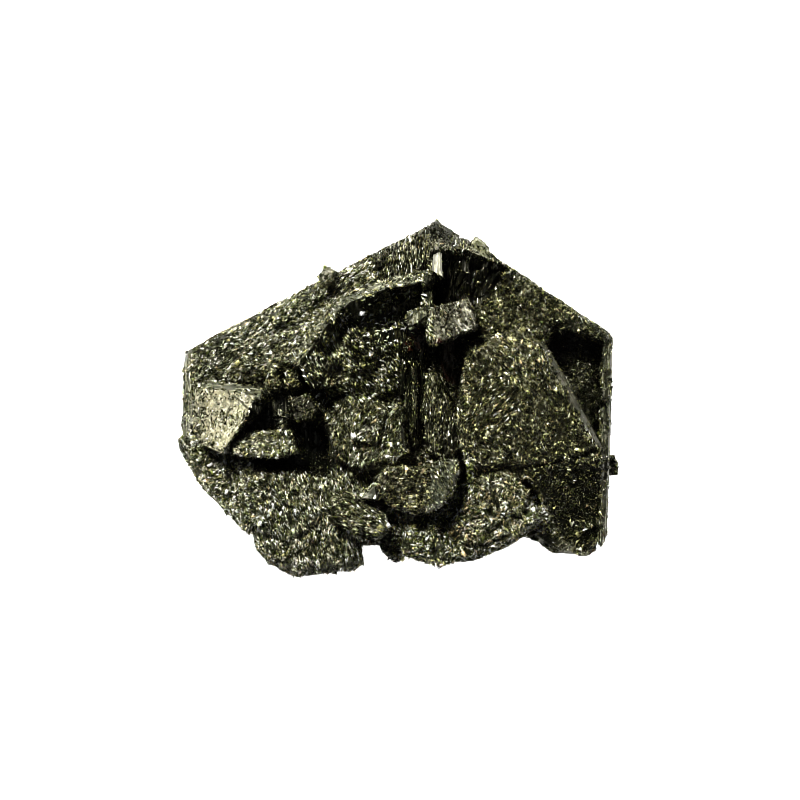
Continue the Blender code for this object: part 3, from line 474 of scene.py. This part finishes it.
class Surface:
    """The triangles of the crystal faces, to scatter fine crystals over."""

    def __init__(self, data, zones):
        data.calc_loop_triangles()
        index = np.empty(len(data.loop_triangles) * 3, int)
        data.loop_triangles.foreach_get("vertices", index)
        self.corners = corners_of(data)[index.reshape(-1, 3)]
        first, second, third = self.corners.transpose(1, 0, 2)
        cross = np.cross(second - first, third - first)
        length = np.linalg.norm(cross, axis=1)
        self.area = length / 2
        self.normal = cross / np.maximum(length, 1e-18)[:, None]
        self.middle = self.corners.mean(axis=1)
        triangle_faces = np.empty(len(data.loop_triangles), int)
        data.loop_triangles.foreach_get("polygon_index", triangle_faces)
        self.zone = zones[triangle_faces]
        self.clump = np.exp(CLUMP_CONTRAST * noise_at(self.middle, CLUMPS_PER_MM))

    def weights(self):
        """How much of the coat each triangle carries."""
        rise = self.normal[:, 2]
        facing = np.where(rise > FACING_FRONT, 1.0, np.where(rise > -0.4, SIDE_SHARE, UNDER_SHARE))
        share = self.area * facing * self.clump * zone_values(self.zone, "cover")
        share[self.middle[:, 2] < LOWEST_GRAIN * MM] = 0.0
        return share / share.sum()

    def scatter(self, count, draw):
        """Places on the surface, with the normal and the zone of each."""
        chosen = draw.choice(len(self.area), count, p=self.weights())
        across, along = draw.random((2, count))
        turned = across + along > 1
        across[turned], along[turned] = 1 - across[turned], 1 - along[turned]
        first, second, third = self.corners[chosen].transpose(1, 0, 2)
        at = first + across[:, None] * (second - first) + along[:, None] * (third - first)
        return at, self.normal[chosen], self.zone[chosen]


# Shapes of the fine crystals, one unit wide, long and high: a splinter with a ridge, and a block narrowing upwards
SPLINTER = (
    np.array([(-0.5, 0.0, -0.5), (0.5, 0.0, -0.5), (0.0, -0.5, 0.5), (0.0, 0.5, 0.5)]),
    ((0, 2, 3), (1, 3, 2), (0, 1, 2), (1, 0, 3)),
)
BLOCK = (
    np.array([(-0.5, -0.5, -0.5), (0.5, -0.5, -0.5), (0.5, 0.5, -0.5), (-0.5, 0.5, -0.5),
              (-0.38, -0.46, 0.5), (0.38, -0.46, 0.5), (0.38, 0.46, 0.5), (-0.38, 0.46, 0.5)]),
    ((0, 3, 2), (0, 2, 1), (4, 5, 6), (4, 6, 7), (0, 1, 5), (0, 5, 4), (1, 2, 6), (1, 6, 5), (2, 3, 7), (2, 7, 6),
     (3, 0, 4), (3, 4, 7)),
)


def pointed_prism():
    """A six-sided prism along Y with a slanting point at each end."""
    ring = [(0.5 * math.cos(turn), 0.5 * math.sin(turn)) for turn in np.arange(6) * math.pi / 3]
    corners = [(x, -0.40, z) for x, z in ring] + [(x, 0.40, z) for x, z in ring]
    corners += [(0.16, -0.5, 0.1), (-0.16, 0.5, 0.1)]
    faces = []
    for one in range(6):
        two = (one + 1) % 6
        faces += [(one, two, two + 6), (one, two + 6, one + 6), (two, one, 12), (one + 6, two + 6, 13)]
    return np.array(corners), tuple(tuple(reversed(face)) for face in faces)


def unit(rows):
    return rows / np.maximum(np.linalg.norm(rows, axis=1), 1e-12)[:, None]


def crystal_axes(normal, zones, draw):
    """Which way each fine crystal's width, length and height point."""
    count = len(normal)
    lean = np.radians(zone_values(zones, "lean"))
    up = unit(normal + draw.normal(size=(count, 3)) * lean[:, None])
    turned = np.radians(zone_values(zones, "heading") + zone_values(zones, "swing") * draw.uniform(-1, 1, count))
    along = np.column_stack((np.sin(turned), np.cos(turned), np.zeros(count)))
    steep = zones >= len(FRONT_ZONES)
    level = unit(np.column_stack((-normal[:, 1], normal[:, 0], np.full(count, 1e-6))))
    upright = np.outer(np.cos(turned), (0.0, 0.0, 1.0)) + np.sin(turned)[:, None] * level
    along[steep] = upright[steep]
    across = unit(np.cross(along, up))
    return across, np.cross(up, across), up


def crystal_colours(at, zones, draw):
    """One colour for each fine crystal from its zone's mix. Neighbours tend to be alike."""
    fine = noise_at(at, TUFTS_PER_MM)
    clump = noise_at(at, COLOUR_CLUMPS_PER_MM) * COLOUR_CLUMPING + fine * TUFTING
    clump += draw.normal(0.0, 1.0, len(at))
    rank = np.empty(len(at))
    rank[np.argsort(clump, kind="stable")] = (np.arange(len(at)) + 0.5) / len(at)
    mixes = np.array([area.mix for area in ZONES], float)
    limits = np.cumsum(mixes / mixes.sum(axis=1)[:, None], axis=1)[zones]
    kind = np.minimum((rank[:, None] > limits).sum(axis=1), len(COLOURS) - 1)
    # The zone's brightness factor, with its painted light and painted shade, scales the fine crystals too.
    strength = GRAIN_GAIN * zone_values(zones, "gain") * np.exp(fine * TUFT_CONTRAST)
    strength *= draw.lognormal(0.0, 0.7, len(zones))
    return np.minimum(np.array(COLOURS)[kind] * strength[:, None], PALEST)


def mesh_of(name, corners, faces, colours):
    data = bpy.data.meshes.new(name)
    data.vertices.add(len(corners))
    data.vertices.foreach_set("co", corners.ravel())
    data.loops.add(faces.size)
    data.loops.foreach_set("vertex_index", faces.ravel())
    data.polygons.add(len(faces))
    data.polygons.foreach_set("loop_start", np.arange(len(faces)) * 3)
    data.update(calc_edges=True)
    set_attribute(data, "crystal_colour", "FLOAT_COLOR", with_alpha(colours))
    return data


def grow(name, shape, surface, count, width, drawn_out, sink, material, draw):
    """Covers the surface with this many fine crystals of one shape, in as many pieces as the limit asks for."""
    template, triangles = shape
    most = PIECE_TRIANGLES // len(triangles)
    at, normal, zones = surface.scatter(count, draw)
    order = np.argsort(at[:, 0], kind="stable")
    at, normal, zones = at[order], normal[order], zones[order]
    axes = crystal_axes(normal, zones, draw)
    wide = width * MM * zone_values(zones, "size") * draw.lognormal(0.0, SIZE_SPREAD, count)
    long = wide * drawn_out * zone_values(zones, "long") * draw.uniform(0.7, 1.4, count)
    long = np.minimum(long, LONGEST * MM * draw.uniform(0.6, 1.0, count))
    high = wide * draw.uniform(0.6, 1.15, count)
    corners = np.repeat(at[:, None, :], len(template), axis=1)
    corners = corners - (normal * (high * sink)[:, None])[:, None, :]
    for axis, reach, column in zip(axes, (wide, long, high), template.T):
        uneven = column[None, :] * draw.uniform(0.86, 1.14, (count, len(column)))
        corners += (uneven * reach[:, None])[..., None] * axis[:, None, :]
    colours = crystal_colours(at, zones, draw)
    pieces = math.ceil(count / most)
    for number, chunk in enumerate(np.array_split(np.arange(count), pieces), 1):
        offsets = np.arange(len(chunk))[:, None, None] * len(template)
        faces = (np.array(triangles)[None] + offsets).reshape(-1, 3)
        piece = f"{name}_{number}" if pieces > 1 else name
        tint = np.repeat(colours[chunk], len(template), axis=0)
        data = mesh_of(piece, corners[chunk].reshape(-1, 3), faces, tint)
        new_object(piece, data, material)


class Nodes:
    """Short calls for building a material's nodes."""

    def __init__(self, name):
        self.material = bpy.data.materials.new(name)
        self.material.use_nodes = True
        self.tree = self.material.node_tree
        self.shader = self.tree.nodes["Principled BSDF"]

    def add(self, kind, settings=None, **inputs):
        node = self.tree.nodes.new("ShaderNode" + kind)
        for key, value in (settings or {}).items():
            setattr(node, key, value)
        for key, value in inputs.items():
            self.put(node, key.replace("_", " "), value)
        return node

    def put(self, node, name, value):
        if isinstance(value, bpy.types.NodeSocket):
            self.tree.links.new(value, node.inputs[name])
        else:
            node.inputs[name].default_value = value

    def maths(self, kind, *values):
        node = self.add("Math", {"operation": kind})
        for place, value in enumerate(values):
            self.put(node, place, value)
        return node.outputs["Value"]

    def vector_maths(self, kind, output, *values):
        node = self.add("VectorMath", {"operation": kind})
        for place, value in enumerate(values):
            self.put(node, place, value)
        return node.outputs[output]

    def between(self, value, low, high):
        return self.add("MapRange", Value=value, To_Min=low, To_Max=high).outputs["Result"]

    def times(self, colour, amount):
        node = self.add("Mix", {"data_type": "RGBA", "blend_type": "MULTIPLY"})
        node.inputs["Factor"].default_value = 1.0
        self.tree.links.new(colour, node.inputs[6])
        self.tree.links.new(amount, node.inputs[7])
        return node.outputs[2]

    def attribute(self, name, output):
        return self.add("Attribute", {"attribute_name": name}).outputs[output]

    def noise(self, place, scale, detail=2.0, roughness=0.5):
        return self.add("TexNoise", Vector=place, Scale=scale, Detail=detail, Roughness=roughness).outputs["Fac"]

    def ramp(self, factor, *stops):
        node = self.tree.nodes.new("ShaderNodeValToRGB")
        ramp = node.color_ramp
        while len(ramp.elements) < len(stops):
            ramp.elements.new(0.5)
        for element, (place, colour) in zip(ramp.elements, stops):
            element.position = place
            element.color = colour if len(colour) == 4 else (*colour, 1.0)
        self.tree.links.new(factor, node.inputs["Fac"])
        return node.outputs["Color"]


def tilted_normal(n, place, tilted, *layers):
    """The face's normal, leant another way in each cell of each layer, and each cell's random colour."""
    normal = n.add("NewGeometry").outputs["Normal"]
    drawn = []
    for cells_per_metre, lean in layers:
        cells = n.add("TexVoronoi", {"feature": "F1"}, Vector=place, Scale=cells_per_metre).outputs["Color"]
        drawn.append(cells)
        away = n.vector_maths("SUBTRACT", "Vector", cells, (0.5, 0.5, 0.5))
        step = n.add("VectorMath", {"operation": "SCALE"})
        n.put(step, 0, away)
        n.put(step, "Scale", n.maths("MULTIPLY", tilted, lean))
        normal = n.vector_maths("ADD", "Vector", normal, step.outputs["Vector"])
    return n.vector_maths("NORMALIZE", "Vector", normal), drawn


def warped(n, place, scale, reach):
    """The place, pushed about a little, so that cells have ragged edges."""
    push = n.add("TexNoise", Vector=place, Scale=scale, Detail=1.0).outputs["Color"]
    push = n.vector_maths("SUBTRACT", "Vector", push, (0.5, 0.5, 0.5))
    return n.vector_maths("MULTIPLY_ADD", "Vector", push, (reach, reach, reach), place)


def face_material():
    """Crystal faces: tiny tilted facets of many colours, drawn out into lines where the face is smooth."""
    n = Nodes("crystal_face")
    place = n.add("TexCoord").outputs["Object"]
    dull, coated, tilted = n.add("SeparateXYZ", Vector=n.attribute("face_finish", "Vector")).outputs
    light = n.attribute("face_light", "Fac")
    along = n.attribute("face_lines", "Vector")
    squeezed = n.add("VectorMath", {"operation": "SCALE"})
    n.put(squeezed, 0, along)
    n.put(squeezed, "Scale", n.vector_maths("DOT_PRODUCT", "Value", place, along))
    ragged = warped(n, n.vector_maths("SUBTRACT", "Vector", place, squeezed.outputs["Vector"]), 2600.0, 0.00022)
    normal, drawn = tilted_normal(n, ragged, tilted, (2900.0, 1.1), (1500.0, 0.5))
    n.put(n.shader, "Normal", normal)
    own = n.add("SeparateColor", Color=drawn[0]).outputs["Red"]
    clump = n.maths("ADD", n.noise(place, 900.0, 3.0, 0.8), n.noise(place, 140.0, 2.0))
    factor = n.maths("ADD", n.maths("MULTIPLY_ADD", own, 0.90, light), n.maths("MULTIPLY_ADD", clump, 1.3, -1.36))
    crystals = n.ramp(factor, (0.30, BLACK_GREEN), (0.46, DEEP_GREEN), (0.58, OLIVE), (0.72, PISTACHIO), (0.88, PALE))
    shade = n.times(n.attribute("face_colour", "Color"), n.between(n.noise(place, 700.0, 4.0, 0.7), 0.2, 1.8))
    mixed = n.add("Mix", {"data_type": "RGBA"})
    n.tree.links.new(coated, mixed.inputs["Factor"])
    n.tree.links.new(shade, mixed.inputs[6])
    n.tree.links.new(crystals, mixed.inputs[7])
    # Painted shade in the crevices between the tiny facets: the colour darkens towards each cell's edge.
    gap = n.add("TexVoronoi", {"feature": "DISTANCE_TO_EDGE"}, Vector=ragged, Scale=2900.0).outputs["Distance"]
    crevice_shade = n.add("MapRange", Value=gap, From_Max=0.16, To_Min=0.15, To_Max=1.0).outputs["Result"]
    shown = n.maths("MULTIPLY_ADD", crevice_shade, coated, n.maths("SUBTRACT", 1.0, coated))
    # The zone's brightness factor, with its painted light and painted shade, scales the face colour.
    bright = n.maths("MULTIPLY", shown, n.attribute("face_tone_and_painted_light", "Fac"))
    n.put(n.shader, "Base Color", n.times(mixed.outputs[2], bright))
    n.put(n.shader, "Roughness", n.maths("MULTIPLY", dull, n.between(n.noise(place, 1800.0, 3.0, 0.7), 0.5, 1.5)))
    n.shader.inputs["IOR"].default_value = 1.75
    n.shader.inputs["Specular Tint"].default_value = GLINT_TINT
    return n.material


def grain_material():
    """Fine crystals, each with the colour it was given, glossy, with uneven faces."""
    n = Nodes("fine_crystal")
    place = n.add("TexCoord").outputs["Object"]
    normal, drawn = tilted_normal(n, warped(n, place, 1700.0, 0.0003), 1.0, (3600.0, 0.55))
    n.put(n.shader, "Normal", normal)
    own = n.add("SeparateColor", Color=drawn[0]).outputs["Green"]
    colour = n.attribute("crystal_colour", "Color")
    n.put(n.shader, "Base Color", n.times(colour, n.between(own, 0.35, 1.65)))
    n.put(n.shader, "Roughness", n.between(n.noise(place, 3200.0), 0.10, 0.42))
    n.shader.inputs["IOR"].default_value = 1.75
    n.shader.inputs["Specular Tint"].default_value = GLINT_TINT
    return n.material


def floor_material():
    n = Nodes("pale_floor")
    place = n.add("TexCoord").outputs["Object"]
    n.put(n.shader, "Base Color", n.ramp(n.noise(place, 3.0, 3.0), (0.3, (0.86, 0.86, 0.85)), (0.7, (0.9, 0.9, 0.895))))
    n.shader.inputs["Roughness"].default_value = 0.9
    n.shader.inputs["Emission Color"].default_value = (1.0, 1.0, 1.0, 1.0)
    n.shader.inputs["Emission Strength"].default_value = FLOOR_GLOW
    return n.material


def make_floor():
    bpy.ops.mesh.primitive_plane_add(size=6.0, location=(0.0, 0.0, -FLOOR_BELOW * MM))
    floor = bpy.context.object
    floor.name = "floor"
    floor.data.materials.append(floor_material())


# Studio light: azimuth anticlockwise from +X and elevation in degrees, distance and size in metres, power in watts
KEY_LIGHT = (118.0, 43.0, 1.0, 0.20, 22.0)
KEY_COLOUR = (1.0, 0.985, 0.945)
FILL_LIGHT = (-60.0, 65.0, 1.2, 0.8, 0.24)
FILL_COLOUR = (0.9, 0.95, 1.0)
SKY_STRENGTH = 0.045

# The floor is this far below the cut back, so that neither hides the other
FLOOR_BELOW = 0.4
FLOOR_GLOW = 0.85


def add_light(name, colour, azimuth, elevation, distance, size, power):
    data = bpy.data.lights.new(name, "AREA")
    data.size = size
    data.energy = power
    data.color = colour
    light = bpy.data.objects.new(name, data)
    bpy.context.scene.collection.objects.link(light)
    turn, rise = math.radians(azimuth), math.radians(elevation)
    away = Vector((math.cos(turn) * math.cos(rise), math.sin(turn) * math.cos(rise), math.sin(rise)))
    light.location = away * distance
    light.rotation_euler = away.to_track_quat("Z", "Y").to_euler()


def make_sky():
    world = bpy.data.worlds.new("studio")
    bpy.context.scene.world = world
    world.use_nodes = True
    background = world.node_tree.nodes["Background"]
    background.inputs["Color"].default_value = (1.0, 1.0, 1.0, 1.0)
    background.inputs["Strength"].default_value = SKY_STRENGTH


def make_camera():
    """Looks straight down on the cluster, as the photograph does."""
    data = bpy.data.cameras.new("camera")
    data.lens = LENS
    data.sensor_width = SENSOR
    data.clip_start = 0.01
    camera = bpy.data.objects.new("camera", data)
    bpy.context.scene.collection.objects.link(camera)
    seen = PHOTO_WIDTH / PIXELS_PER_MM * MM
    height = MEASURED_AT * MM + seen * LENS / SENSOR
    camera.location = ((PHOTO_MIDDLE[0] - MIDDLE[0]) * MM, (PHOTO_MIDDLE[1] - MIDDLE[1]) * MM, height)
    bpy.context.scene.camera = camera


def main():
    draw = np.random.default_rng(SEED)
    faces, zones = make_faces(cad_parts[NODE], face_material())
    surface = Surface(faces.data, zones)
    grains = grain_material()
    coarse = (COARSE_COUNT, COARSE_WIDTH, COARSE_LONG)
    small = (SMALL_COUNT, SMALL_WIDTH, SMALL_LONG)
    fine = (FINE_COUNT, FINE_WIDTH, FINE_LONG)
    needles = (NEEDLE_COUNT, NEEDLE_WIDTH, NEEDLE_LONG)
    filaments = (FILAMENT_COUNT, FILAMENT_WIDTH, FILAMENT_LONG)
    grow("coarse_crystals", pointed_prism(), surface, *coarse, 0.1, grains, draw)
    grow("small_crystals", BLOCK, surface, *small, 0.05, grains, draw)
    grow("fine_crystals", SPLINTER, surface, *fine, -0.1, grains, draw)
    grow("needles", SPLINTER, surface, *needles, -0.3, grains, draw)
    grow("filaments", SPLINTER, surface, *filaments, -0.8, grains, draw)
    make_floor()
    add_light("key_light", KEY_COLOUR, *KEY_LIGHT)
    add_light("fill_light", FILL_COLOUR, *FILL_LIGHT)
    make_sky()
    make_camera()
    bpy.context.scene.view_settings.view_transform = "Standard"
    bpy.context.scene.view_settings.look = "High Contrast"
    bpy.context.scene.cycles.filter_width = SHARPNESS


main()
